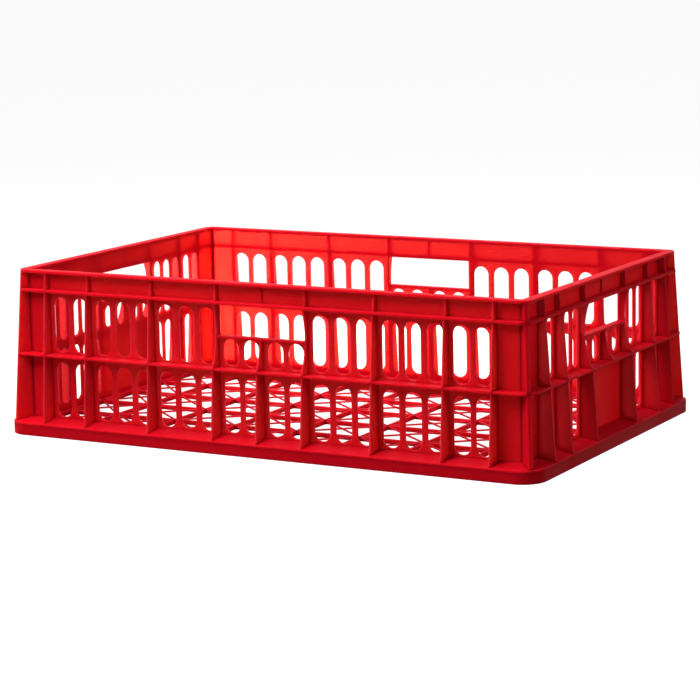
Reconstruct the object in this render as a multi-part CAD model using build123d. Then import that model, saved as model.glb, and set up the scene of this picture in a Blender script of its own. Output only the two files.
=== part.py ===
"""Red perforated plastic crate, built from the members of its moulding.

Millimetres, +Z up, origin at the bottom centre, X along the long walls.
The front wall faces -Y. Each wall member is drawn once by its depth from the
outer face of the wall panel, and is then placed on the four walls and corners.
"""

import os
from build123d import *

# Overall size
LENGTH = 600.0
WIDTH = 400.0
HEIGHT = 170.0

# Wall section
WALL = 3.0
RECESS = 20.1
FLARE = 12.9
STEP = 1.5
INNER_RADIUS = 1.0

# Bands of the wall, from the ground up
SKIRT_HEIGHT = 13.0
SKIRT_WALL = 3.5
BASE_DROP = 4.0
BASE_LEDGE = 3.0
MID_LEDGE = 2.5
MID_RISE = 1.0
UPPER_LEDGE = 3.0
RIM_BAND = 16.5
LIP = 3.0

# Ribs
RIB = 2.0
CORNER_RIB = 4.5
RIB_ROOM = 4.0
RIM_SETBACK = 2.4
MIDDLE_RIM_RIB = 1.8

# Slots and hand-holes
LONG_CORNER_PANEL = 27.9
SHORT_CORNER_PANEL = 29.9
LONG_SLOT = 18.1
SHORT_SLOT = 15.0
WEB = 3.5
LONG_SLOT_FOOT = 1.25
LONG_SLOT_HEAD = 5.0
SHORT_SLOT_FOOT = 2.6
SHORT_SLOT_HEAD = 1.4
HAND_HOLE = 31.2
SILL = 2.5
SILL_DEPTH = 4.8

# Floor grid
FLOOR_BOTTOM = 7.5
FLOOR_BAR_HEIGHT = 5.0
FLOOR_BRACE_HEIGHT = 2.0
FLOOR_BAR = 3.0
FLOOR_BRACE = 2.0
FLOOR_FRAME = 5.0
FLOOR_END_CELL = 61.0
COLUMNS_PER_HALF = 3
ROWS_PER_HALF = 3

# Slots in each bay, from the middle of the wall to its corner panel
LONG_BAYS = (2.0, 3.0, 3.0, 2.0)
SHORT_BAYS = (2.5, 3.0, 2.0)

# Heights that follow from the bands
FLOOR_TOP = FLOOR_BOTTOM + FLOOR_BAR_HEIGHT
BASE_TOP = SKIRT_HEIGHT + BASE_DROP
LIP_BOTTOM = HEIGHT - LIP
UPPER_TOP = LIP_BOTTOM - RIM_BAND
UPPER_BOTTOM = UPPER_TOP - UPPER_LEDGE
MID_CENTRE = (BASE_TOP + UPPER_BOTTOM) / 2 + MID_RISE
MID_BOTTOM = MID_CENTRE - MID_LEDGE / 2
MID_TOP = MID_CENTRE + MID_LEDGE / 2
TIER = min(MID_BOTTOM - BASE_TOP, UPPER_BOTTOM - MID_TOP)
SILL_TOP = UPPER_BOTTOM - HAND_HOLE
SILL_BOTTOM = SILL_TOP - SILL

# Plan sizes that follow from the wall section
PANEL_RADIUS = INNER_RADIUS + WALL
CORNER_RADIUS = PANEL_RADIUS + RECESS
CORNER_X = LENGTH / 2 - CORNER_RADIUS
CORNER_Y = WIDTH / 2 - CORNER_RADIUS
INNER_X = LENGTH / 2 - RECESS - WALL
INNER_Y = WIDTH / 2 - RECESS - WALL


def reach(z):
    """Depth of the ribs and ledges in front of the panel at a height."""
    share = (z - SKIRT_HEIGHT) / (HEIGHT - SKIRT_HEIGHT)
    return RECESS - STEP - (FLARE - STEP) * share


def slope(depth):
    """Height of the sloped base ledge's top at a depth."""
    return BASE_TOP - BASE_DROP * depth / RECESS


def band(bottom, top, setback=0.0):
    """Section of a ledge or rib between two heights."""
    return [
        (0, bottom),
        (reach(bottom) - setback, bottom),
        (reach(top) - setback, top),
        (0, top),
    ]


# Sections by depth and height, shared by walls and corners
PANEL_SECTION = [(-WALL, FLOOR_BOTTOM), (0, FLOOR_BOTTOM), (0, LIP_BOTTOM), (-WALL, LIP_BOTTOM)]
LIP_SECTION = [
    (-WALL, LIP_BOTTOM),
    (reach(LIP_BOTTOM), LIP_BOTTOM),
    (reach(HEIGHT), HEIGHT),
    (-WALL, HEIGHT),
]
UPPER_SECTION = band(UPPER_BOTTOM, UPPER_TOP)
MID_SECTION = band(MID_BOTTOM, MID_TOP)
BASE_SECTION = [
    (0, BASE_TOP - BASE_LEDGE),
    (RECESS, SKIRT_HEIGHT - BASE_LEDGE),
    (RECESS, SKIRT_HEIGHT),
    (0, BASE_TOP),
]
SKIRT_INSIDE = RECESS - SKIRT_WALL
SKIRT_SECTION = [
    (SKIRT_INSIDE, 0),
    (RECESS, 0),
    (RECESS, SKIRT_HEIGHT - BASE_LEDGE),
    (SKIRT_INSIDE, slope(SKIRT_INSIDE) - BASE_LEDGE),
]
LOWER_RIB_SECTION = [
    (0, BASE_TOP),
    (RECESS - STEP, slope(RECESS - STEP)),
    (reach(MID_BOTTOM), MID_BOTTOM),
    (0, MID_BOTTOM),
]
UPPER_RIB_SECTION = band(MID_TOP, UPPER_BOTTOM)
RIM_RIB_SECTION = band(UPPER_TOP, LIP_BOTTOM, RIM_SETBACK)
CORNER_RIM_RIB_SECTION = band(UPPER_TOP, LIP_BOTTOM)
MIDDLE_RIM_RIB_SECTION = [
    (0, UPPER_TOP),
    (MIDDLE_RIM_RIB, UPPER_TOP),
    (MIDDLE_RIM_RIB, LIP_BOTTOM),
    (0, LIP_BOTTOM),
]


def polygon(points):
    return make_face(Polyline(*points, close=True))


def section_plane(u, panel):
    """Plane across the front wall: local x is depth, local y is height."""
    return Plane(origin=(u, -panel, 0), x_dir=(0, -1, 0), z_dir=(-1, 0, 0))


def along(section, panel, start, end):
    """A section run along the front wall between two places."""
    face = section_plane(end, panel) * polygon(section)
    return extrude(face, amount=end - start)


def rib(section, panel, u):
    return along(section, panel, u - RIB / 2, u + RIB / 2)


def scooped_rib(panel, u):
    """Upper rib beside a hand-hole, hollowed to the sill for the fingers."""
    head = (reach(UPPER_BOTTOM), UPPER_BOTTOM)
    foot = (reach(MID_TOP), MID_TOP)
    edge = ThreePointArc(head, (SILL_DEPTH, SILL_TOP), foot)
    rest = Polyline(foot, (0, MID_TOP), (0, UPPER_BOTTOM), head)
    face = section_plane(u + RIB / 2, panel) * make_face([edge, rest])
    return extrude(face, amount=RIB)


def around(section):
    """A section turned a quarter round a corner centred on the origin."""
    points = [(PANEL_RADIUS + depth, z) for depth, z in section]
    return revolve(Plane.XZ * polygon(points), Axis.Z, 90)


def diagonal_rib(section):
    """Rib on the diagonal of a corner, rooted in the rounded panel."""
    root = PANEL_RADIUS - WALL / 2
    points = []
    for depth, z in section:
        points.append((PANEL_RADIUS + depth if depth > 0 else root, z))
    plate = extrude(Plane.XZ * polygon(points), amount=CORNER_RIB / 2, both=True)
    return Rot(0, 0, 45) * plate


def sheet(left, right, bottom, top, panel, slots):
    """Flat wall panel with upright round-ended slots: (centre, bottom, width, height)."""
    face = Pos((left + right) / 2, (bottom + top) / 2) * Rectangle(right - left, top - bottom)
    for centre, foot, width, height in slots:
        shape = SlotOverall(height, width, rotation=90)
        face -= Pos(centre, foot + height / 2) * shape
    back = Plane(origin=(0, -(panel - WALL), 0), x_dir=(1, 0, 0), z_dir=(0, -1, 0))
    return extrude(back * face, amount=WALL)


def rib_places(bays, panel_half, corner_panel):
    """Rib centres on one half of a wall, from the hand-hole to the corner."""
    unit = (panel_half - corner_panel) / sum(bays)
    places = []
    total = 0.0
    for bay in bays:
        total += bay
        places.append(total * unit)
    return places


def slot_centres(start, end, count):
    """Evenly spread slots between two rib centres, and their pitch."""
    first = start + RIB_ROOM / 2
    pitch = (end - start - RIB_ROOM) / count
    return [first + (i + 0.5) * pitch for i in range(count)], pitch


def mirrored(slots):
    return [(-centre, foot, width, height) for centre, foot, width, height in slots]


def wall_members(panel, panel_half, bays, corner_panel, slot, open_foot):
    """All members of one straight wall, drawn as a front wall.

    A slot is given by its width and the plain strips left below and above it.
    """
    slot_width, slot_foot, slot_head = slot
    slot_height = TIER - slot_foot - slot_head
    lower_slot = BASE_TOP + slot_foot
    upper_slot = MID_TOP + slot_foot
    straight = panel_half - PANEL_RADIUS
    places = rib_places(bays, panel_half, corner_panel)
    handle = places[0]
    window = handle - RIB / 2

    side_slots = []
    for start, end, bay in zip(places[:-1], places[1:], bays[1:]):
        centres, pitch = slot_centres(start, end, int(bay))
        width = min(slot_width, pitch - WEB)
        for centre in centres:
            side_slots.append((centre, lower_slot, width, slot_height))
            side_slots.append((centre, upper_slot, width, slot_height))

    handle_slots = []
    centres, pitch = slot_centres(0.0, handle, int(bays[0]))
    width = min(slot_width, pitch - WEB)
    stub_height = SILL_BOTTOM - slot_foot - upper_slot
    stub_width = min(width, stub_height - slot_foot)
    for centre in centres:
        handle_slots.append((centre, upper_slot, stub_width, stub_height))
        if open_foot:
            handle_slots.append((centre, lower_slot, width, slot_height))
    handle_slots += mirrored(handle_slots)

    upper_part = Box(LENGTH, WIDTH + LENGTH, SILL_BOTTOM, align=(Align.CENTER, Align.CENTER, Align.MIN))
    handle_panel = sheet(-window, window, FLOOR_BOTTOM, SILL_TOP, panel, handle_slots)
    handle_panel += scooped_rib(panel, 0.0) & upper_part
    if open_foot:
        handle_panel += rib(LOWER_RIB_SECTION, panel, 0.0)

    rim_band = sheet(-straight, straight, UPPER_BOTTOM, LIP_BOTTOM, panel, [])
    rim_band += rib(MIDDLE_RIM_RIB_SECTION, panel, 0.0)
    for place in places:
        section = CORNER_RIM_RIB_SECTION if place == places[-1] else RIM_RIB_SECTION
        rim_band += rib(section, panel, -place)
        rim_band += rib(section, panel, place)

    def side_ribs(sign):
        ribs = [scooped_rib(panel, sign * handle)]
        ribs += [rib(UPPER_RIB_SECTION, panel, sign * place) for place in places[1:]]
        ribs += [rib(LOWER_RIB_SECTION, panel, sign * place) for place in places]
        return Compound(children=ribs)

    sill_section = [(0, SILL_BOTTOM), (SILL_DEPTH, SILL_BOTTOM), (SILL_DEPTH, SILL_TOP), (0, SILL_TOP)]
    return {
        "first_panel": sheet(-straight, -window, FLOOR_BOTTOM, UPPER_BOTTOM, panel, mirrored(side_slots)),
        "second_panel": sheet(window, straight, FLOOR_BOTTOM, UPPER_BOTTOM, panel, side_slots),
        "handle_panel": handle_panel,
        "rim_band": rim_band,
        "rim_lip": along(LIP_SECTION, panel, -straight, straight),
        "upper_ledge": along(UPPER_SECTION, panel, -straight, straight),
        "mid_ledge": along(MID_SECTION, panel, -straight, straight),
        "base_ledge": along(BASE_SECTION, panel, -straight, straight),
        "skirt": along(SKIRT_SECTION, panel, -straight, straight),
        "handle_sill": along(sill_section, panel, -window, window),
        "first_ribs": side_ribs(-1),
        "second_ribs": side_ribs(1),
    }


def corner_post():
    """Rounded corner of the wall with its ledges, lip and diagonal ribs."""
    post = around(PANEL_SECTION)
    for section in (LIP_SECTION, UPPER_SECTION, MID_SECTION, BASE_SECTION):
        post += around(section)
    for section in (LOWER_RIB_SECTION, UPPER_RIB_SECTION, CORNER_RIM_RIB_SECTION):
        post += diagonal_rib(section)
    return post


def floor_grid():
    """Open floor: a frame, bars both ways and crossed braces in every cell."""
    inside = RectangleRounded(2 * INNER_X, 2 * INNER_Y, INNER_RADIUS)
    hole_radius = max(INNER_RADIUS - FLOOR_FRAME, FLOOR_BRACE / 2)
    bars = inside - RectangleRounded(
        2 * (INNER_X - FLOOR_FRAME), 2 * (INNER_Y - FLOOR_FRAME), hole_radius
    )
    column = (INNER_X - FLOOR_END_CELL) / COLUMNS_PER_HALF
    row = INNER_Y / ROWS_PER_HALF
    columns = [i * column for i in range(-COLUMNS_PER_HALF, COLUMNS_PER_HALF + 1)]
    rows = [i * row for i in range(1 - ROWS_PER_HALF, ROWS_PER_HALF)]
    bars += [Pos(x, 0) * Rectangle(FLOOR_BAR, 2 * INNER_Y - FLOOR_FRAME) for x in columns]
    bars += [Pos(0, y) * Rectangle(2 * INNER_X - FLOOR_FRAME, FLOOR_BAR) for y in rows]

    edge_x = INNER_X - FLOOR_FRAME / 2
    edge_y = INNER_Y - FLOOR_FRAME / 2
    across = [-edge_x] + columns + [edge_x]
    deep = [-edge_y] + rows + [edge_y]
    braces = []
    for left, right in zip(across[:-1], across[1:]):
        for front, rear in zip(deep[:-1], deep[1:]):
            for start, end in (((left, front), (right, rear)), ((left, rear), (right, front))):
                line = Line(start, end)
                turn = Rot(0, 0, Vector(1, 0).get_signed_angle(line % 0.5))
                middle = line @ 0.5
                braces.append(Pos(middle.X, middle.Y) * turn * Rectangle(line.length, FLOOR_BRACE))
    brace_plan = (Sketch() + braces) & inside

    grid = Pos(0, 0, FLOOR_BOTTOM) * extrude(bars, amount=FLOOR_BAR_HEIGHT)
    brace_foot = FLOOR_TOP - FLOOR_BRACE_HEIGHT
    grid += Pos(0, 0, brace_foot) * extrude(brace_plan, amount=FLOOR_BRACE_HEIGHT)
    return grid


def save(shape, node):
    export_step(shape, "parts/" + node + ".step")


os.makedirs("parts", exist_ok=True)

long_slot = (LONG_SLOT, LONG_SLOT_FOOT, LONG_SLOT_HEAD)
short_slot = (SHORT_SLOT, SHORT_SLOT_FOOT, SHORT_SLOT_HEAD)
long_wall = wall_members(
    WIDTH / 2 - RECESS, LENGTH / 2 - RECESS, LONG_BAYS, LONG_CORNER_PANEL, long_slot, True
)
short_wall = wall_members(
    LENGTH / 2 - RECESS, WIDTH / 2 - RECESS, SHORT_BAYS, SHORT_CORNER_PANEL, short_slot, False
)

# Each wall with its members, its turn from the front, and the names of its two halves
walls = (
    ("front_wall", long_wall, 0, "left", "right"),
    ("rear_wall", long_wall, 180, "right", "left"),
    ("right_end", short_wall, 90, "front", "rear"),
    ("left_end", short_wall, 270, "rear", "front"),
)
for wall, members, turn, first, second in walls:
    for member, shape in members.items():
        name = member.replace("first", first).replace("second", second)
        save(Rot(0, 0, turn) * shape, wall + "_" + name)

post_shape = corner_post()
skirt_shape = around(SKIRT_SECTION)
corners = (
    ("rear_right", 1, 1, 0),
    ("rear_left", -1, 1, 90),
    ("front_left", -1, -1, 180),
    ("front_right", 1, -1, 270),
)
for corner, side_x, side_y, turn in corners:
    place = Pos(side_x * CORNER_X, side_y * CORNER_Y) * Rot(0, 0, turn)
    save(place * post_shape, corner + "_corner_post")
    save(place * skirt_shape, corner + "_corner_skirt")

save(floor_grid(), "floor_grid")
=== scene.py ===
"""Looks of a red perforated plastic crate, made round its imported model.

Metres, +Z up, the front wall faces -Y. The real crate is one moulding, so its bands,
slotted walls, ribs, corners and floor grid are pieces that meet inside the plastic.
"""

import math
import bmesh
import bpy
from mathutils import Matrix, Vector


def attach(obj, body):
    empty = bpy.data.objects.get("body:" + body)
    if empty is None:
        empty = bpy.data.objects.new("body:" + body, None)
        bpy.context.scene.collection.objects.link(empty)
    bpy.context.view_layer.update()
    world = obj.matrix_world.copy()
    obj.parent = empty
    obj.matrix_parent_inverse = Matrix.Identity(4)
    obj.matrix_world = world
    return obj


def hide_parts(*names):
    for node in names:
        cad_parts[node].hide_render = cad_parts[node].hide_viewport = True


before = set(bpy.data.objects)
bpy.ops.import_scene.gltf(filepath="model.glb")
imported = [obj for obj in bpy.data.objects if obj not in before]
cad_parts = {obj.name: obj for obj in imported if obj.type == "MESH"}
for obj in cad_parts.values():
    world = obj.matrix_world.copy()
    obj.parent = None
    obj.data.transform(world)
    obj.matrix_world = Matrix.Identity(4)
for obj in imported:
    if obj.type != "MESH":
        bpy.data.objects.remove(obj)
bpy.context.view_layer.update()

MM = 0.001

# Sizes of the moulding, the same as in the part's source
LENGTH = 600.0 * MM
WIDTH = 400.0 * MM
HEIGHT = 170.0 * MM
WALL = 3.0 * MM
RECESS = 20.1 * MM
FLARE = 12.9 * MM
STEP = 1.5 * MM
INNER_RADIUS = 1.0 * MM
SKIRT_HEIGHT = 13.0 * MM
SKIRT_WALL = 3.5 * MM
BASE_DROP = 4.0 * MM
BASE_LEDGE = 3.0 * MM
MID_LEDGE = 2.5 * MM
MID_RISE = 1.0 * MM
UPPER_LEDGE = 3.0 * MM
RIM_BAND = 16.5 * MM
LIP = 3.0 * MM
RIB = 2.0 * MM
CORNER_RIB = 4.5 * MM
RIB_ROOM = 4.0 * MM
RIM_SETBACK = 2.4 * MM
MIDDLE_RIM_RIB = 1.8 * MM
LONG_CORNER_PANEL = 27.9 * MM
SHORT_CORNER_PANEL = 29.9 * MM
LONG_SLOT = 18.1 * MM
SHORT_SLOT = 15.0 * MM
WEB = 3.5 * MM
LONG_SLOT_FOOT = 1.25 * MM
LONG_SLOT_HEAD = 5.0 * MM
SHORT_SLOT_FOOT = 2.6 * MM
SHORT_SLOT_HEAD = 1.4 * MM
HAND_HOLE = 31.2 * MM
SILL = 2.5 * MM
SILL_DEPTH = 4.8 * MM
FLOOR_BOTTOM = 7.5 * MM
FLOOR_BAR_HEIGHT = 5.0 * MM
FLOOR_BRACE_HEIGHT = 2.0 * MM
FLOOR_BAR = 3.0 * MM
FLOOR_BRACE = 2.0 * MM
FLOOR_FRAME = 5.0 * MM
FLOOR_END_CELL = 61.0 * MM
COLUMNS_PER_HALF = 3
ROWS_PER_HALF = 3
LONG_BAYS = (2.0, 3.0, 3.0, 2.0)
SHORT_BAYS = (2.5, 3.0, 2.0)

# Roundings that the mould leaves on its edges
SLOT_ROUNDING = 0.3 * MM
LEDGE_ROUNDING = 0.5 * MM
LIP_ROUNDING = 0.5 * MM
RIB_ROUNDING = 0.7 * MM
BAR_ROUNDING = 0.6 * MM
HOLE_CORNER = 1.2 * MM

# How far members run into each other, and how far like faces keep apart
SUNK = 1.2 * MM
TUCK = 0.4 * MM
HAIR = 0.05 * MM
BRACE_GAP = 0.5 * MM
WELD = 0.001 * MM

# Fineness of the curved faces
CORNER_STEPS = 12
EDGE_STEPS = 3
RIB_STATIONS = 17
OPENING_POINTS = 28
OPENING_RINGS = 7
SHARP_BEND = math.radians(50)

# An edge is painted pale, partly as a painted highlight and partly as wear, where it bends this much
# between strips this narrow
PALE_EDGE_BEND = math.radians(18)
EDGE_STRIP = 0.8 * MM

# Heights and plan sizes that follow
FLOOR_TOP = FLOOR_BOTTOM + FLOOR_BAR_HEIGHT
BASE_TOP = SKIRT_HEIGHT + BASE_DROP
LIP_BOTTOM = HEIGHT - LIP
UPPER_TOP = LIP_BOTTOM - RIM_BAND
UPPER_BOTTOM = UPPER_TOP - UPPER_LEDGE
MID_CENTRE = (BASE_TOP + UPPER_BOTTOM) / 2 + MID_RISE
MID_BOTTOM = MID_CENTRE - MID_LEDGE / 2
MID_TOP = MID_CENTRE + MID_LEDGE / 2
TIER = min(MID_BOTTOM - BASE_TOP, UPPER_BOTTOM - MID_TOP)
SILL_TOP = UPPER_BOTTOM - HAND_HOLE
SILL_BOTTOM = SILL_TOP - SILL
SKIRT_INSIDE = RECESS - SKIRT_WALL
PANEL_RADIUS = INNER_RADIUS + WALL
PANEL_X = LENGTH / 2 - RECESS
PANEL_Y = WIDTH / 2 - RECESS
INNER_X = PANEL_X - WALL
INNER_Y = PANEL_Y - WALL


def reach(z):
    """Depth of ribs and ledges in front of the panel at a height."""
    share = (z - SKIRT_HEIGHT) / (HEIGHT - SKIRT_HEIGHT)
    return RECESS - STEP - (FLARE - STEP) * share


def slope(depth):
    """Height of the sloped base ledge's top at a depth."""
    return BASE_TOP - BASE_DROP * depth / RECESS


# Wiring of node trees


class Wiring:
    """A node tree that is wired step by step."""

    def __init__(self, tree):
        self.tree = tree

    def outputs(self, kind, wires=(), **settings):
        """Adds a node, sets or joins its inputs, and returns its outputs."""
        made = self.tree.nodes.new(kind)
        for key, value in settings.items():
            setattr(made, key, value)
        for key, value in dict(wires).items():
            for source in value if isinstance(value, list) else [value]:
                if isinstance(source, bpy.types.NodeSocket):
                    self.tree.links.new(source, made.inputs[key])
                else:
                    made.inputs[key].default_value = source
        return made.outputs

    def node(self, kind, wires=(), **settings):
        """Adds a node and returns its first output."""
        return self.outputs(kind, wires, **settings)[0]

    def maths(self, operation, first, second=0.0):
        return self.node("ShaderNodeMath", {0: first, 1: second}, operation=operation)

    def add(self, first, second):
        return self.maths("ADD", first, second)

    def subtract(self, first, second):
        return self.maths("SUBTRACT", first, second)

    def multiply(self, first, second):
        return self.maths("MULTIPLY", first, second)

    def divide(self, first, second):
        return self.maths("DIVIDE", first, second)


class Recipe(Wiring):
    """A geometry tree for one kind of member, with its sizes as named inputs."""

    def __init__(self, name):
        super().__init__(bpy.data.node_groups.new(name, "GeometryNodeTree"))
        face = self.tree.interface
        face.new_socket("Places", in_out="INPUT", socket_type="NodeSocketGeometry")
        face.new_socket("Member", in_out="OUTPUT", socket_type="NodeSocketGeometry")
        self.given = self.tree.nodes.new("NodeGroupInput")
        self.places = self.given.outputs[0]
        self.sizes = {}

    def size(self, name, kind="NodeSocketFloat"):
        socket = self.tree.interface.new_socket(name, in_out="INPUT", socket_type=kind)
        self.sizes[name] = socket.identifier
        return self.given.outputs[name]

    def read(self, name, kind="FLOAT"):
        return self.node("GeometryNodeInputNamedAttribute", {"Name": name}, data_type=kind)

    def note(self, geometry, name, value, kind="FLOAT"):
        wires = {"Geometry": geometry, "Name": name, "Value": value}
        return self.node("GeometryNodeStoreNamedAttribute", wires, data_type=kind, domain="POINT")

    def note_position(self, geometry, name):
        position = self.node("GeometryNodeInputPosition")
        return self.note(geometry, name, position, "FLOAT_VECTOR")

    def less(self, first, second):
        wires = {"A": first, "B": second}
        return self.node("FunctionNodeCompare", wires, data_type="FLOAT", operation="LESS_THAN")

    def pick(self, test, when_false, when_true):
        wires = {"Switch": test, "False": when_false, "True": when_true}
        return self.node("GeometryNodeSwitch", wires, input_type="FLOAT")

    def vector(self, x, y, z):
        return self.node("ShaderNodeCombineXYZ", {"X": x, "Y": y, "Z": z})

    def split(self, vector):
        return self.outputs("ShaderNodeSeparateXYZ", {"Vector": vector})

    def line(self, start, end):
        return self.node("GeometryNodeCurvePrimitiveLine", {"Start": start, "End": end})

    def rectangle(self, width, height):
        wires = {"Width": width, "Height": height}
        return self.node("GeometryNodeCurvePrimitiveQuadrilateral", wires, mode="RECTANGLE")

    def rounded(self, curve, steps, radius):
        wires = {"Curve": curve, "Count": steps, "Radius": radius, "Limit Radius": True}
        return self.node("GeometryNodeFilletCurve", wires, mode="POLY")

    def section(self):
        """Four corners of a section as (depth, height), each with its own rounding."""
        corners = {}
        for i in range(1, 5):
            corners["Point %d" % i] = self.size("Corner %d" % i, "NodeSocketVector")
        outline = self.node("GeometryNodeCurvePrimitiveQuadrilateral", corners, mode="POINTS")
        radius = self.size("Rounding 1")
        index = self.node("GeometryNodeInputIndex")
        for i in range(2, 5):
            later = self.less(i - 1.5, index)
            radius = self.pick(later, radius, self.size("Rounding %d" % i))
        return self.rounded(outline, EDGE_STEPS, radius)

    def drawn_out(self, path, profile, capped=True):
        wires = {"Curve": path, "Profile Curve": profile, "Fill Caps": capped}
        return self.node("GeometryNodeCurveToMesh", wires)

    def swept(self, path, profile, capped=True):
        """Carries an upright section along a level path."""
        upright = self.node("GeometryNodeSetCurveNormal", {"Curve": path}, mode="Z_UP")
        return self.drawn_out(upright, profile, capped)

    def real(self, geometry):
        return self.node("GeometryNodeRealizeInstances", {"Geometry": geometry})

    def welded(self, geometry):
        return self.node("GeometryNodeMergeByDistance", {"Geometry": geometry, "Distance": WELD})

    def set_out(self, member):
        """Puts a member at every place and notes the middle of its place on it."""
        places = self.note_position(self.places, "middle")
        wires = {"Points": places, "Instance": member}
        return self.real(self.node("GeometryNodeInstanceOnPoints", wires))

    def moved(self, geometry, offset):
        """Moves each point to its own offset from the middle of its place."""
        wires = {0: self.read("middle", "FLOAT_VECTOR"), 1: offset}
        place = self.node("ShaderNodeVectorMath", wires, operation="ADD")
        return self.node("GeometryNodeSetPosition", {"Geometry": geometry, "Position": place})

    def done(self, geometry):
        """Ends the tree in plain faces of the crate's plastic."""
        whole = self.welded(self.real(geometry))
        wires = {"Geometry": whole, "Material": self.size("Plastic", "NodeSocketMaterial")}
        painted = self.node("GeometryNodeSetMaterial", wires)
        end = self.tree.nodes.new("NodeGroupOutput")
        self.tree.links.new(painted, end.inputs[0])
        return self


def band_recipe():
    """A band that follows the rounded rectangle of the walls right round the crate."""
    recipe = Recipe("band_round_crate")
    plan = recipe.rectangle(recipe.size("Plan length"), recipe.size("Plan width"))
    path = recipe.rounded(plan, CORNER_STEPS, recipe.size("Plan corner"))
    return recipe.done(recipe.swept(path, recipe.section(), capped=False))


def run_recipe():
    """A straight member of even section along a wall."""
    recipe = Recipe("straight_run")
    start = recipe.size("Start", "NodeSocketVector")
    end = recipe.size("End", "NodeSocketVector")
    return recipe.done(recipe.swept(recipe.line(start, end), recipe.section()))


def corner_recipe():
    """The rounded panel of one corner, a quarter turn."""
    recipe = Recipe("corner_panel")
    wires = {"Resolution": CORNER_STEPS + 1, "Sweep Angle": math.pi / 2}
    wires["Radius"] = recipe.size("Panel radius")
    path = recipe.node("GeometryNodeCurveArc", wires, mode="RADIUS")
    return recipe.done(recipe.swept(path, recipe.section()))


def sheet_recipe():
    """A flat sheet with round-cornered openings, each with rounded edges on both faces.

    A place is the middle of an opening or of the sheet's own outline. Its notes give
    breadth, height, corner radius and edge rounding. Each lining is a tube whose points
    go round in four corners, with half of its rings on the edge of either face.
    """
    recipe = Recipe("slotted_sheet")
    wall = recipe.size("Wall")
    per_corner = OPENING_POINTS / 4
    ring_lean = math.radians(30)
    wires = {"Vertices": OPENING_POINTS, "Side Segments": OPENING_RINGS}
    wires.update({"Radius": 1.0, "Depth": 1.0})
    tube = recipe.node("GeometryNodeMeshCylinder", wires, fill_type="NONE")
    x, y, z = recipe.split(recipe.node("GeometryNodeInputPosition"))
    turn = recipe.divide(recipe.maths("ARCTAN2", y, x), 2 * math.pi / OPENING_POINTS)
    turn = recipe.maths("FLOORED_MODULO", recipe.maths("ROUND", turn), OPENING_POINTS)
    tube = recipe.note(tube, "turn", turn)
    ring = recipe.maths("ROUND", recipe.multiply(recipe.subtract(0.5, z), OPENING_RINGS))
    lining = recipe.set_out(recipe.note(tube, "ring", ring))

    turn = recipe.read("turn")
    quarter = recipe.maths("FLOOR", recipe.divide(turn, per_corner))
    within = recipe.maths("FLOORED_MODULO", turn, per_corner)
    angle = recipe.add(quarter, recipe.divide(within, per_corner - 1))
    angle = recipe.multiply(angle, math.pi / 2)
    middle_angle = recipe.multiply(recipe.add(quarter, 0.5), math.pi / 2)
    edge = recipe.read("edge_rounding")
    ring = recipe.read("ring")
    from_face = recipe.maths("MINIMUM", ring, recipe.subtract(OPENING_RINGS, ring))
    lean = recipe.multiply(from_face, ring_lean)
    growth = recipe.multiply(edge, recipe.subtract(1.0, recipe.maths("SINE", lean)))
    sink = recipe.multiply(edge, recipe.subtract(1.0, recipe.maths("COSINE", lean)))
    behind = recipe.less(OPENING_RINGS / 2, ring)
    depth = recipe.pick(behind, sink, recipe.subtract(wall, sink))
    corner_radius = recipe.read("corner_radius")
    bend_radius = recipe.add(corner_radius, growth)

    def side(name, wave):
        half = recipe.subtract(recipe.multiply(recipe.read(name), 0.5), corner_radius)
        sign = recipe.maths("SIGN", recipe.maths(wave, middle_angle))
        bend = recipe.multiply(bend_radius, recipe.maths(wave, angle))
        return recipe.add(recipe.multiply(half, sign), bend)

    across = side("breadth", "COSINE")
    up = side("height", "SINE")
    offset = recipe.vector(across, up, recipe.multiply(depth, -1.0))
    lining = recipe.welded(recipe.moved(lining, offset))

    def face(test, level):
        loops = recipe.node("GeometryNodeMeshToCurve", {"Mesh": lining, "Selection": test})
        filled = recipe.node("GeometryNodeFillCurve", {"Curve": loops}, mode="TRIANGLES")
        wires = {"Geometry": filled, "Translation": recipe.vector(0.0, 0.0, level)}
        return recipe.node("GeometryNodeTransform", wires)

    out = recipe.split(recipe.node("GeometryNodeInputPosition"))[2]
    outer_face = face(recipe.less(-2 * WELD, out), 0.0)
    inner_test = recipe.less(recipe.add(out, wall), 2 * WELD)
    inner_face = face(inner_test, recipe.multiply(wall, -1.0))
    faces = [lining, outer_face, inner_face]
    return recipe.done(recipe.node("GeometryNodeJoinGeometry", {"Geometry": faces}))


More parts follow.
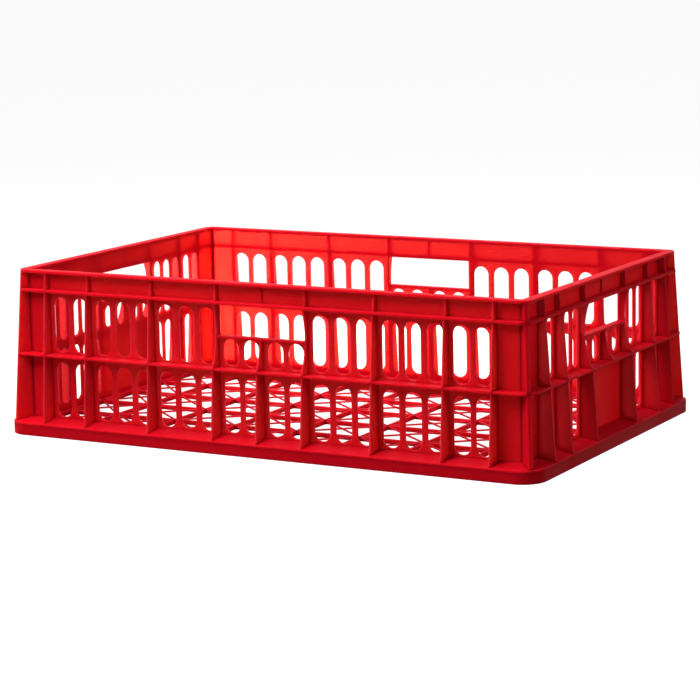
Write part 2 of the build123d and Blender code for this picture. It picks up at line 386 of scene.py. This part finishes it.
def rib_recipe():
    """Upright ribs with a rounded outer edge, one at each place along a wall.

    Notes give foot and head heights, the reach at both, the drop of a sloped foot, and
    the circle of a rib that is hollowed for the fingers, or none.
    """
    recipe = Recipe("upright_ribs")
    nominal = 10.0 * MM
    outline = recipe.rectangle(nominal, recipe.size("Thickness"))
    sunk = recipe.size("Sunk root")
    profile = recipe.rounded(outline, EDGE_STEPS, recipe.size("Rounding"))
    wires = {"Curve": recipe.line((0.0, 0.0, 0.0), (0.0, 0.0, 1.0)), "Count": RIB_STATIONS}
    path = recipe.node("GeometryNodeResampleCurve", wires, mode="COUNT")
    plate = recipe.note_position(recipe.drawn_out(path, profile), "shape")
    plates = recipe.set_out(plate)

    out, across, rise = recipe.split(recipe.read("shape", "FLOAT_VECTOR"))
    foot = recipe.read("foot")
    tall = recipe.subtract(recipe.read("head"), foot)
    height = recipe.add(foot, recipe.multiply(rise, tall))
    foot_reach = recipe.read("foot_reach")
    spread = recipe.subtract(recipe.read("head_reach"), foot_reach)
    straight = recipe.add(foot_reach, recipe.multiply(rise, spread))
    bow = recipe.read("bow_radius")
    lift = recipe.subtract(height, recipe.read("bow_height"))
    square = recipe.subtract(recipe.multiply(bow, bow), recipe.multiply(lift, lift))
    hollow = recipe.subtract(recipe.read("bow_depth"), recipe.maths("SQRT", square))
    tip = recipe.pick(recipe.less(0.0, bow), straight, hollow)
    from_tip = recipe.subtract(nominal / 2, out)
    from_root = recipe.subtract(recipe.add(out, nominal / 2), sunk)
    depth = recipe.pick(recipe.less(0.0, out), from_root, recipe.subtract(tip, from_tip))
    fall = recipe.multiply(recipe.read("foot_drop"), recipe.subtract(1.0, rise))
    fall = recipe.multiply(fall, recipe.divide(depth, recipe.size("Slope run")))
    offset = recipe.vector(across, recipe.subtract(height, fall), depth)
    return recipe.done(recipe.moved(plates, offset))


def bar_recipe():
    """Bars of the floor grid. Notes give length, turn, breadth, and foot and head heights."""
    recipe = Recipe("floor_bars")
    nominal = 1.8 * MM
    outline = recipe.rectangle(nominal, nominal)
    profile = recipe.rounded(outline, EDGE_STEPS, recipe.size("Rounding"))
    path = recipe.line((0.0, 0.0, -0.5), (0.0, 0.0, 0.5))
    bar = recipe.note_position(recipe.drawn_out(path, profile), "shape")
    bars = recipe.set_out(bar)

    side, up, along = recipe.split(recipe.read("shape", "FLOAT_VECTOR"))
    spare = recipe.divide(recipe.subtract(recipe.read("breadth"), nominal), 2.0)
    side = recipe.add(side, recipe.multiply(recipe.maths("SIGN", side), spare))
    from_foot = recipe.add(recipe.read("foot"), recipe.add(up, nominal / 2))
    from_head = recipe.add(recipe.read("head"), recipe.subtract(up, nominal / 2))
    height = recipe.pick(recipe.less(0.0, up), from_foot, from_head)
    run = recipe.multiply(along, recipe.read("length"))
    turn = recipe.read("turn")
    cosine = recipe.maths("COSINE", turn)
    sine = recipe.maths("SINE", turn)
    x = recipe.subtract(recipe.multiply(run, cosine), recipe.multiply(side, sine))
    y = recipe.add(recipe.multiply(run, sine), recipe.multiply(side, cosine))
    return recipe.done(recipe.moved(bars, recipe.vector(x, y, height)))


# Material

FRESH_RED = (0.64, 0.0034, 0.0115, 1.0)
DEEP_RED = (0.58, 0.0029, 0.0102, 1.0)
# Pale red of the rounded edges: partly a painted highlight, partly rubbed wear
WORN_AND_LIT_RED = (0.74, 0.085, 0.080, 1.0)
MOST_EDGE_PALING = 0.06
FLOW_STRETCH = (1.0, 1.0, 2.6)


def red_plastic_material():
    """Satin red polyolefin, a little translucent, with flow marks, and rounded edges painted pale,
    partly as a painted highlight and partly as wear.
    """
    material = bpy.data.materials.new("moulded_red_plastic")
    material.use_nodes = True
    tree = material.node_tree
    wiring = Wiring(tree)
    shader = tree.nodes["Principled BSDF"]
    spot = wiring.outputs("ShaderNodeTexCoord")["Object"]

    def noise(scale, detail, stretch=(1.0, 1.0, 1.0)):
        at = wiring.node("ShaderNodeMapping", {"Vector": spot, "Scale": stretch})
        return wiring.node("ShaderNodeTexNoise", {"Vector": at, "Scale": scale, "Detail": detail})

    def ranged(value, low, high, first, last):
        wires = {"Value": value, 1: low, 2: high, 3: first, 4: last}
        return wiring.node("ShaderNodeMapRange", wires)

    def blend(share, first, last):
        wires = {"Factor": share, 6: first, 7: last}
        return wiring.outputs("ShaderNodeMix", wires, data_type="RGBA")[2]

    flow = ranged(noise(7.0, 3.0, FLOW_STRETCH), 0.3, 0.7, 0.0, 1.0)
    body = blend(flow, FRESH_RED, DEEP_RED)
    # Rounded edges are painted paler: partly a painted highlight along them, partly rubbed wear
    edge = wiring.outputs("ShaderNodeAttribute", attribute_name="edge_wear")["Fac"]
    patch = ranged(noise(60.0, 4.0), 0.42, 0.68, 0.15, 1.0)
    worn_and_lit = wiring.multiply(wiring.multiply(edge, patch), MOST_EDGE_PALING)
    tree.links.new(blend(worn_and_lit, body, WORN_AND_LIT_RED), shader.inputs["Base Color"])

    rough = ranged(noise(38.0, 5.0), 0.3, 0.7, 0.46, 0.56)
    rough = wiring.add(rough, wiring.multiply(worn_and_lit, 0.2))
    tree.links.new(rough, shader.inputs["Roughness"])

    grain = wiring.add(noise(900.0, 2.0), wiring.multiply(noise(45.0, 2.0), 3.0))
    wires = {"Strength": 0.10, "Distance": 0.25 * MM, "Height": grain}
    tree.links.new(wiring.node("ShaderNodeBump", wires), shader.inputs["Normal"])

    shader.inputs["Subsurface Weight"].default_value = 0.8
    shader.inputs["Subsurface Radius"].default_value = (1.0, 1.5, 0.9)
    shader.inputs["Subsurface Scale"].default_value = 14.0 * MM
    shader.inputs["IOR"].default_value = 1.5
    shader.inputs["Specular IOR Level"].default_value = 0.03
    shader.inputs["Specular Tint"].default_value = (1.0, 0.25, 0.22, 1.0)
    return material


red_plastic = red_plastic_material()


# Making of pieces

SPENT_NOTES = (
    "turn", "ring", "middle", "shape", "breadth", "height", "corner_radius", "edge_rounding", "length",
    "foot", "head", "foot_reach", "head_reach", "foot_drop", "bow_radius", "bow_height", "bow_depth",
)


def placed(name, data):
    """A new object in the scene."""
    thing = bpy.data.objects.new(name, data)
    bpy.context.scene.collection.objects.link(thing)
    return thing


def as_shown(thing):
    """A plain mesh of an object with its modifiers carried out."""
    depsgraph = bpy.context.evaluated_depsgraph_get()
    return bpy.data.meshes.new_from_object(thing.evaluated_get(depsgraph), depsgraph=depsgraph)


def cast(recipe, sizes, places=(), notes=()):
    """Runs a recipe at the given places and returns its faces as a plain mesh."""
    ground = bpy.data.meshes.new("places")
    ground.from_pydata(list(places), [], [])
    for key in notes[0] if notes else ():
        layer = ground.attributes.new(key, "FLOAT", "POINT")
        layer.data.foreach_set("value", [note[key] for note in notes])
    host = placed("places", ground)
    maker = host.modifiers.new("recipe", "NODES")
    maker.node_group = recipe.tree
    for name, value in sizes.items():
        maker[recipe.sizes[name]] = value
    maker[recipe.sizes["Plastic"]] = red_plastic
    mesh = as_shown(host)
    host.modifiers.remove(maker)
    bpy.data.objects.remove(host)
    bpy.data.meshes.remove(ground)
    return mesh


def note_pale_edges(body):
    """Marks the rounded edges, which are painted pale partly as a painted highlight and partly as
    rubbed wear, and leaves the flats out.
    """
    layer = body.verts.layers.float.new("edge_wear")
    for vert in body.verts:
        bend = max((edge.calc_face_angle(0.0) for edge in vert.link_edges), default=0.0)
        breadths = [2 * face.calc_area() / face.calc_perimeter() for face in vert.link_faces]
        widest = max(breadths, default=1.0)
        vert[layer] = 1.0 if bend > PALE_EDGE_BEND and widest < EDGE_STRIP else 0.0


def face_outwards(body):
    """Turns each closed shell of a piece so that its faces look out of the plastic."""
    bmesh.ops.recalc_face_normals(body, faces=body.faces)
    body.normal_update()
    waiting = set(body.faces)
    while waiting:
        shell = [waiting.pop()]
        for face in shell:
            beside = {other for edge in face.edges for other in edge.link_faces} & waiting
            waiting -= beside
            shell.extend(beside)
        volume = sum(face.calc_center_median().dot(face.normal) * face.calc_area() for face in shell)
        if volume < 0.0:
            bmesh.ops.reverse_faces(body, faces=shell)


def joined(name, meshes, place):
    """One mesh of closed shells from several meshes, put in its place."""
    body = bmesh.new()
    for mesh in meshes:
        body.from_mesh(mesh)
        bpy.data.meshes.remove(mesh)
    bmesh.ops.remove_doubles(body, verts=body.verts, dist=WELD)
    bmesh.ops.dissolve_degenerate(body, edges=body.edges, dist=WELD)
    body.transform(place)
    face_outwards(body)
    note_pale_edges(body)
    for face in body.faces:
        face.smooth = True
    whole = bpy.data.meshes.new(name)
    body.to_mesh(whole)
    body.free()
    return whole


def piece(name, meshes, nodes, place=Matrix.Identity(4)):
    """Joins meshes into one finished piece that stands for CAD nodes."""
    mesh = joined(name, meshes, place)
    for layer in [a.name for a in mesh.attributes if a.name in SPENT_NOTES]:
        mesh.attributes.remove(mesh.attributes[layer])
    mesh.materials.append(red_plastic)
    mesh.set_sharp_from_angle(angle=SHARP_BEND)
    thing = placed(name, mesh)
    flats = thing.modifiers.new("even_flats", "WEIGHTED_NORMAL")
    flats.keep_sharp = True
    evened = as_shown(thing)
    thing.modifiers.remove(flats)
    thing.data = evened
    bpy.data.meshes.remove(mesh)
    evened.name = name
    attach(thing, "root")
    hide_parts(*nodes)
    return thing


band_round = band_recipe()
straight_run = run_recipe()
corner_panel = corner_recipe()
slotted_sheet = sheet_recipe()
upright_ribs = rib_recipe()
floor_bars = bar_recipe()


# Bands right round the crate

WALLS = ("front_wall", "rear_wall", "right_end", "left_end")
CORNERS = ("front_left", "front_right", "rear_left", "rear_right")


def on_walls(member):
    return [name + "_" + member for name in WALLS]


def sections(corners, roundings):
    """Inputs of a section: four corners by depth and height, with their roundings.

    A swept profile hangs below its path, so heights go in as drops.
    """
    inputs = {}
    for i in range(4):
        inputs["Corner %d" % (i + 1)] = (corners[i][0], -corners[i][1], 0.0)
        inputs["Rounding %d" % (i + 1)] = roundings[i]
    return inputs


def band(name, corners, roundings, nodes):
    """One band right round the outside of the walls."""
    sizes = {"Plan length": 2 * PANEL_X, "Plan width": 2 * PANEL_Y, "Plan corner": PANEL_RADIUS}
    sizes.update(sections(corners, roundings))
    return piece(name, [cast(band_round, sizes)], nodes)


def ledge(name, bottom, top):
    corners = [(-SUNK, bottom), (reach(bottom), bottom), (reach(top), top), (-SUNK, top)]
    return band(name, corners, [0.0, LEDGE_ROUNDING, LEDGE_ROUNDING, 0.0], on_walls(name))


band(
    "rim_lip",
    [(-WALL, LIP_BOTTOM), (reach(LIP_BOTTOM), LIP_BOTTOM), (reach(HEIGHT), HEIGHT), (-WALL, HEIGHT)],
    [0.0, LIP_ROUNDING, LIP_ROUNDING, LIP_ROUNDING],
    on_walls("rim_lip"),
)
ledge("upper_ledge", UPPER_BOTTOM, UPPER_TOP)
ledge("mid_ledge", MID_BOTTOM, MID_TOP)
band(
    "base_ledge",
    [
        (-SUNK, slope(-SUNK) - BASE_LEDGE),
        (RECESS, SKIRT_HEIGHT - BASE_LEDGE),
        (RECESS, SKIRT_HEIGHT),
        (-SUNK, slope(-SUNK)),
    ],
    [0.0, 0.0, LIP_ROUNDING, 0.0],
    on_walls("base_ledge"),
)
band(
    "skirt",
    [
        (SKIRT_INSIDE, 0.0),
        (RECESS, 0.0),
        (RECESS, SKIRT_HEIGHT - BASE_LEDGE),
        (SKIRT_INSIDE, slope(SKIRT_INSIDE) - BASE_LEDGE),
    ],
    [LEDGE_ROUNDING, LIP_ROUNDING, 0.0, 0.0],
    on_walls("skirt") + [name + "_corner_skirt" for name in CORNERS],
)


# Straight walls


def rib_places(bays, panel_half, corner_panel_width):
    """Rib centres on one half of a wall, from the hand-hole to the corner."""
    unit = (panel_half - corner_panel_width) / sum(bays)
    places = []
    total = 0.0
    for bay in bays:
        total += bay
        places.append(total * unit)
    return places


def slot_centres(start, end, count):
    """Evenly spread slots between two rib centres, and their pitch."""
    first = start + RIB_ROOM / 2
    pitch = (end - start - RIB_ROOM) / count
    return [first + (i + 0.5) * pitch for i in range(count)], pitch


def opening(u, bottom, breadth, height, corner_radius, rounding):
    """Place and notes of one opening, by its middle along the wall and its foot."""
    note = {"breadth": breadth, "height": height}
    note["corner_radius"] = corner_radius
    note["edge_rounding"] = rounding
    return (u, bottom + height / 2, 0.0), note


def wall_sheet(straight, places, bays, slot, open_foot):
    """The slotted sheet of one straight wall with its hand-hole."""
    slot_width, slot_foot, slot_head = slot
    slot_height = TIER - slot_foot - slot_head
    lower_slot = BASE_TOP + slot_foot
    upper_slot = MID_TOP + slot_foot
    stub_height = SILL_BOTTOM - slot_foot - upper_slot
    window = places[0] - RIB / 2
    made = [opening(0.0, FLOOR_BOTTOM, 2 * straight, LIP_BOTTOM - FLOOR_BOTTOM, 0.0, 0.0)]
    made.append(opening(0.0, SILL_TOP, 2 * window, HAND_HOLE, HOLE_CORNER, SLOT_ROUNDING))
    starts = [0.0] + places[:-1]
    for start, end, bay in zip(starts, places, bays):
        centres, pitch = slot_centres(start, end, int(bay))
        breadth = min(slot_width, pitch - WEB)
        tall = stub_height if start == 0.0 else slot_height
        for u in [sign * centre for centre in centres for sign in (1, -1)]:
            made.append(opening(u, upper_slot, breadth, tall, breadth / 2, SLOT_ROUNDING))
            if start > 0.0 or open_foot:
                lower = opening(u, lower_slot, breadth, slot_height, breadth / 2, SLOT_ROUNDING)
                made.append(lower)
    return cast(slotted_sheet, {"Wall": WALL}, [m[0] for m in made], [m[1] for m in made])


def rib_note(foot, head, foot_reach, head_reach, drop=0.0, bow=(0.0, 0.0, 0.0)):
    note = {"foot": foot, "head": head, "foot_reach": foot_reach, "head_reach": head_reach}
    note["foot_drop"] = drop
    note["bow_radius"] = bow[0]
    note["bow_depth"] = bow[1]
    note["bow_height"] = bow[2]
    return note


def finger_bow():
    """Circle of the hollowed ribs: through both ends and the edge of the sill."""
    ends = [(reach(MID_TOP), MID_TOP), (SILL_DEPTH, SILL_TOP), (reach(UPPER_BOTTOM), UPPER_BOTTOM)]
    (ax, ay), (bx, by), (cx, cy) = ends
    twice = 2 * (ax * (by - cy) + bx * (cy - ay) + cx * (ay - by))
    a = ax * ax + ay * ay
    b = bx * bx + by * by
    c = cx * cx + cy * cy
    depth = (a * (by - cy) + b * (cy - ay) + c * (ay - by)) / twice
    height = (a * (cx - bx) + b * (ax - cx) + c * (bx - ax)) / twice
    return math.hypot(ax - depth, ay - height), depth, height


def rim_note(foot_reach, head_reach):
    return rib_note(UPPER_TOP - TUCK, LIP_BOTTOM + TUCK, foot_reach, head_reach)


BOW = finger_bow()
LOWER_RIB = rib_note(BASE_TOP - SUNK, MID_BOTTOM + TUCK, RECESS - STEP, reach(MID_BOTTOM), BASE_DROP)
UPPER_RIB = rib_note(MID_TOP - TUCK, UPPER_BOTTOM + TUCK, reach(MID_TOP), reach(UPPER_BOTTOM))
FINGER_RIB = rib_note(MID_TOP - TUCK, UPPER_BOTTOM + TUCK, 0.0, 0.0, 0.0, BOW)
MIDDLE_RIB = rib_note(MID_TOP - TUCK, SILL_BOTTOM + TUCK, 0.0, 0.0, 0.0, BOW)
RIM_RIB = rim_note(reach(UPPER_TOP) - RIM_SETBACK, reach(LIP_BOTTOM) - RIM_SETBACK)
END_RIM_RIB = rim_note(reach(UPPER_TOP), reach(LIP_BOTTOM))
MIDDLE_RIM = rim_note(MIDDLE_RIM_RIB, MIDDLE_RIM_RIB)


def ribs(pairs, thickness=RIB):
    """Ribs from pairs of place along the wall and note."""
    sizes = {"Thickness": thickness, "Sunk root": SUNK, "Rounding": RIB_ROUNDING, "Slope run": RECESS}
    return cast(upright_ribs, sizes, [(u, 0.0, 0.0) for u, _ in pairs], [note for _, note in pairs])


def turned(degrees):
    return Matrix.Rotation(math.radians(degrees), 4, "Z")


def facing(turn, away):
    """Places a wall drawn flat (along, up, out) so that it faces out at a turn from the front."""
    return turned(turn) @ Matrix(((1, 0, 0, 0), (0, 0, -1, -away), (0, 1, 0, 0), (0, 0, 0, 1)))


def wall(name, turn, away, panel_half, bays, corner_width, slot, open_foot, halves):
    """All pieces of one straight wall."""
    place = facing(turn, away)
    places = rib_places(bays, panel_half, corner_width)
    straight = panel_half - PANEL_RADIUS
    sheet = wall_sheet(straight, places, bays, slot, open_foot)
    members = ("_%s_panel" % halves[0], "_%s_panel" % halves[1], "_handle_panel", "_rim_band")
    piece(name + "_slotted_sheet", [sheet], [name + member for member in members], place)
    for half, sign in zip(halves, (-1, 1)):
        pairs = [(sign * u, LOWER_RIB) for u in places]
        pairs += [(sign * u, UPPER_RIB) for u in places[1:]]
        pairs.append((sign * places[0], FINGER_RIB))
        piece("%s_%s_upright_ribs" % (name, half), [ribs(pairs)], ["%s_%s_ribs" % (name, half)], place)
    middle = [(0.0, MIDDLE_RIB)] + ([(0.0, LOWER_RIB)] if open_foot else [])
    piece(name + "_middle_ribs", [ribs(middle)], [name + "_handle_panel"], place)
    rim = [(0.0, MIDDLE_RIM)]
    for u in places:
        note = END_RIM_RIB if u == places[-1] else RIM_RIB
        rim += [(-u, note), (u, note)]
    piece(name + "_rim_ribs", [ribs(rim)], [name + "_rim_band"], place)
    sill = sections(
        [(-TUCK, SILL_BOTTOM), (SILL_DEPTH, SILL_BOTTOM), (SILL_DEPTH, SILL_TOP), (-TUCK, SILL_TOP)],
        [0.0, LEDGE_ROUNDING, LEDGE_ROUNDING, 0.0],
    )
    window = places[0] - RIB / 2
    sill.update({"Start": (-window, 0.0, 0.0), "End": (window, 0.0, 0.0)})
    level = turned(turn) @ Matrix.Translation((0.0, -away, 0.0))
    piece(name + "_grip_sill", [cast(straight_run, sill)], [name + "_handle_sill"], level)


LONG_SLOTS = (LONG_SLOT, LONG_SLOT_FOOT, LONG_SLOT_HEAD)
SHORT_SLOTS = (SHORT_SLOT, SHORT_SLOT_FOOT, SHORT_SLOT_HEAD)
LONG_SIDE = (PANEL_Y, PANEL_X, LONG_BAYS, LONG_CORNER_PANEL, LONG_SLOTS, True)
SHORT_SIDE = (PANEL_X, PANEL_Y, SHORT_BAYS, SHORT_CORNER_PANEL, SHORT_SLOTS, False)
wall("front_wall", 0, *LONG_SIDE, ("left", "right"))
wall("rear_wall", 180, *LONG_SIDE, ("right", "left"))
wall("right_end", 90, *SHORT_SIDE, ("front", "rear"))
wall("left_end", 270, *SHORT_SIDE, ("rear", "front"))


# Corners


def corner(name, side_x, side_y, turn):
    """One rounded corner: its panel and the ribs on its diagonal."""
    sizes = sections(
        [(-WALL, FLOOR_BOTTOM), (0.0, FLOOR_BOTTOM), (0.0, LIP_BOTTOM), (-WALL, LIP_BOTTOM)],
        [0.0, 0.0, 0.0, 0.0],
    )
    sizes["Panel radius"] = PANEL_RADIUS
    panel = cast(corner_panel, sizes)
    diagonal = ribs([(0.0, LOWER_RIB), (0.0, UPPER_RIB), (0.0, END_RIM_RIB)], CORNER_RIB)
    diagonal.transform(facing(135, PANEL_RADIUS))
    x = side_x * (PANEL_X - PANEL_RADIUS)
    y = side_y * (PANEL_Y - PANEL_RADIUS)
    place = Matrix.Translation((x, y, 0.0)) @ turned(turn)
    piece(name + "_corner", [panel, diagonal], [name + "_corner_post"], place)


corner("rear_right", 1, 1, 0)
corner("rear_left", -1, 1, 90)
corner("front_left", -1, -1, 180)
corner("front_right", 1, -1, 270)


# Floor


def floor_frame():
    """The frame round the floor grid, let into the walls."""
    hole_x = INNER_X - FLOOR_FRAME
    hole_y = INNER_Y - FLOOR_FRAME
    out = FLOOR_FRAME + SUNK
    sizes = sections(
        [(0.0, FLOOR_BOTTOM), (out, FLOOR_BOTTOM), (out, FLOOR_TOP), (0.0, FLOOR_TOP)],
        [BAR_ROUNDING, 0.0, 0.0, BAR_ROUNDING],
    )
    sizes.update({"Plan length": 2 * hole_x, "Plan width": 2 * hole_y})
    sizes["Plan corner"] = FLOOR_BRACE / 2
    return cast(band_round, sizes)


def floor_lattice():
    """Bars both ways and crossed braces, their tops a hair apart where they cross."""
    column = (INNER_X - FLOOR_END_CELL) / COLUMNS_PER_HALF
    row = INNER_Y / ROWS_PER_HALF
    columns = [i * column for i in range(-COLUMNS_PER_HALF, COLUMNS_PER_HALF + 1)]
    rows = [i * row for i in range(1 - ROWS_PER_HALF, ROWS_PER_HALF)]
    places = []
    notes = []

    def bar(x, y, length, turn, breadth, foot, head):
        places.append((x, y, 0.0))
        note = {"length": length, "turn": turn, "breadth": breadth, "foot": foot, "head": head}
        notes.append(note)

    deep_bar = 2 * INNER_Y - FLOOR_FRAME
    long_bar = 2 * INNER_X - FLOOR_FRAME
    for x in columns:
        bar(x, 0.0, deep_bar, math.pi / 2, FLOOR_BAR, FLOOR_BOTTOM, FLOOR_TOP - HAIR)
    for y in rows:
        bar(0.0, y, long_bar, 0.0, FLOOR_BAR, FLOOR_BOTTOM + HAIR, FLOOR_TOP - 2 * HAIR)
    across = [-INNER_X + FLOOR_FRAME / 2] + columns + [INNER_X - FLOOR_FRAME / 2]
    deep = [-INNER_Y + FLOOR_FRAME / 2] + rows + [INNER_Y - FLOOR_FRAME / 2]
    brace_foot = FLOOR_TOP - FLOOR_BRACE_HEIGHT
    for left, right in zip(across[:-1], across[1:]):
        for front, rear in zip(deep[:-1], deep[1:]):
            length = math.hypot(right - left, rear - front) - BRACE_GAP
            turn = math.atan2(rear - front, right - left)
            x = (left + right) / 2
            y = (front + rear) / 2
            bar(x, y, length, turn, FLOOR_BRACE, brace_foot, FLOOR_TOP - 3 * HAIR)
            bar(x, y, length, -turn, FLOOR_BRACE, brace_foot + HAIR, FLOOR_TOP - 4 * HAIR)
    return cast(floor_bars, {"Rounding": BAR_ROUNDING}, places, notes)


piece("floor_lattice", [floor_frame(), floor_lattice()], ["floor_grid"])


# Stage, lights and camera

WHITE = (1.0, 1.0, 1.0, 1.0)
FLOOR_GREY = (0.24, 0.24, 0.24, 1.0)
FLOOR_GLOW = 0.95
FLOOR_HALF = 30.0
AMBIENT = 0.024
PLAIN_LIGHT = (1.0, 1.0, 1.0)
WARM_LIGHT = (1.0, 1.0, 0.62)


def backdrop_light(wiring):
    """One for rays that look straight at the background or at its image in gloss, else none."""
    path = wiring.outputs("ShaderNodeLightPath")
    seen = wiring.maths("MAXIMUM", path["Is Camera Ray"], path["Is Glossy Ray"])
    return wiring.maths("MAXIMUM", seen, path["Is Transmission Ray"])


def floor_paint():
    """White where it is looked at, and grey to the lamps, so that it keeps the shadow."""
    paint = bpy.data.materials.new("white_floor")
    paint.use_nodes = True
    tree = paint.node_tree
    wiring = Wiring(tree)
    tree.nodes.remove(tree.nodes["Principled BSDF"])
    chalk = wiring.node("ShaderNodeBsdfDiffuse", {"Color": FLOOR_GREY})
    shine = wiring.multiply(backdrop_light(wiring), FLOOR_GLOW)
    glow = wiring.node("ShaderNodeEmission", {"Color": WHITE, "Strength": shine})
    both = wiring.node("ShaderNodeAddShader", {0: chalk, 1: glow})
    tree.links.new(both, tree.nodes["Material Output"].inputs["Surface"])
    return paint


def studio():
    """A white floor that keeps a soft shadow, under a white world."""
    corners = [(-1, -1), (1, -1), (1, 1), (-1, 1)]
    mesh = bpy.data.meshes.new("studio_floor")
    mesh.from_pydata([(x * FLOOR_HALF, y * FLOOR_HALF, 0) for x, y in corners], [], [(0, 1, 2, 3)])
    mesh.materials.append(floor_paint())
    ground = placed("studio_floor", mesh)

    world = bpy.data.worlds.new("white_studio")
    world.use_nodes = True
    tree = world.node_tree
    sky = Wiring(tree)
    base = tree.nodes["Background"]
    base.inputs["Color"].default_value = WHITE
    level = sky.multiply(backdrop_light(sky), 1.0 - AMBIENT)
    tree.links.new(sky.add(level, AMBIENT), base.inputs["Strength"])
    bpy.context.scene.world = world


def softbox(name, side, height, away, size, watts, behind=False):
    """A soft lamp turned to the crate, that the camera does not see.

    Its side is counted in degrees from straight ahead of the front wall towards the
    right end, and its height in degrees above the middle of the crate. A lamp behind
    the crate is warm and shows only through the plastic.
    """
    light = bpy.data.lights.new(name, "AREA")
    light.shape = "RECTANGLE"
    light.size, light.size_y = size
    light.energy = watts
    light.color = WARM_LIGHT if behind else PLAIN_LIGHT
    lamp = placed(name, light)
    aim = Vector((0.0, 0.0, HEIGHT / 2))
    ahead = Vector((0.0, -1.0, math.tan(math.radians(height))))
    way = Matrix.Rotation(math.radians(side), 3, "Z") @ ahead
    lamp.location = aim + away * way.normalized()
    lamp.rotation_euler = (-way).to_track_quat("-Z", "Y").to_euler()
    lamp.visible_camera = False
    lamp.visible_glossy = not behind


studio()
softbox("key_front_left", side=-17, height=47, away=1.6, size=(0.65, 0.8), watts=22.5)
softbox("left_fill", side=-75, height=35, away=1.8, size=(0.6, 0.6), watts=11.0)
softbox("overhead", side=0, height=80, away=1.6, size=(0.6, 0.6), watts=11.5)
softbox("right_fill", side=98, height=32, away=1.8, size=(0.6, 0.6), watts=6.3)
softbox("strip_behind", side=205, height=3, away=0.65, size=(0.25, 0.14), watts=2.6, behind=True)
softbox("strip_at_corner", side=220, height=3, away=0.58, size=(0.25, 0.14), watts=4.5, behind=True)
softbox("strip_at_left", side=237, height=3, away=0.47, size=(0.08, 0.12), watts=0.8, behind=True)


def camera():
    """The photograph's view, from the front right and a little above."""
    azimuth = math.radians(28.782)
    elevation = math.radians(9.685)
    roll = math.radians(-1.078)
    target = Vector((0.0, 0.0, 87.0 * MM))
    distance = 2594.5 * MM
    frame_pixels = 700.0
    focal_pixels = 2497.5
    centre_x = 351.50
    centre_y = 338.61
    back = Vector((
        math.sin(azimuth) * math.cos(elevation),
        -math.cos(azimuth) * math.cos(elevation),
        math.sin(elevation),
    ))
    right = (-back).cross(Vector((0.0, 0.0, 1.0))).normalized()
    up = right.cross(-back)
    tilted_right = right * math.cos(roll) + up * math.sin(roll)
    tilted_up = up * math.cos(roll) - right * math.sin(roll)
    eye = bpy.data.cameras.new("photo_view")
    eye.sensor_fit = "HORIZONTAL"
    eye.sensor_width = 36.0
    eye.lens = focal_pixels / frame_pixels * eye.sensor_width
    eye.shift_x = (frame_pixels / 2 - centre_x) / frame_pixels
    eye.shift_y = (centre_y - frame_pixels / 2) / frame_pixels
    eye.clip_end = 100.0
    view = placed("photo_view", eye)
    turn = Matrix((tilted_right, tilted_up, back)).transposed().to_4x4()
    view.matrix_world = Matrix.Translation(target + back * distance) @ turn
    bpy.context.scene.camera = view


camera()
bpy.context.scene.view_settings.view_transform = "Standard"
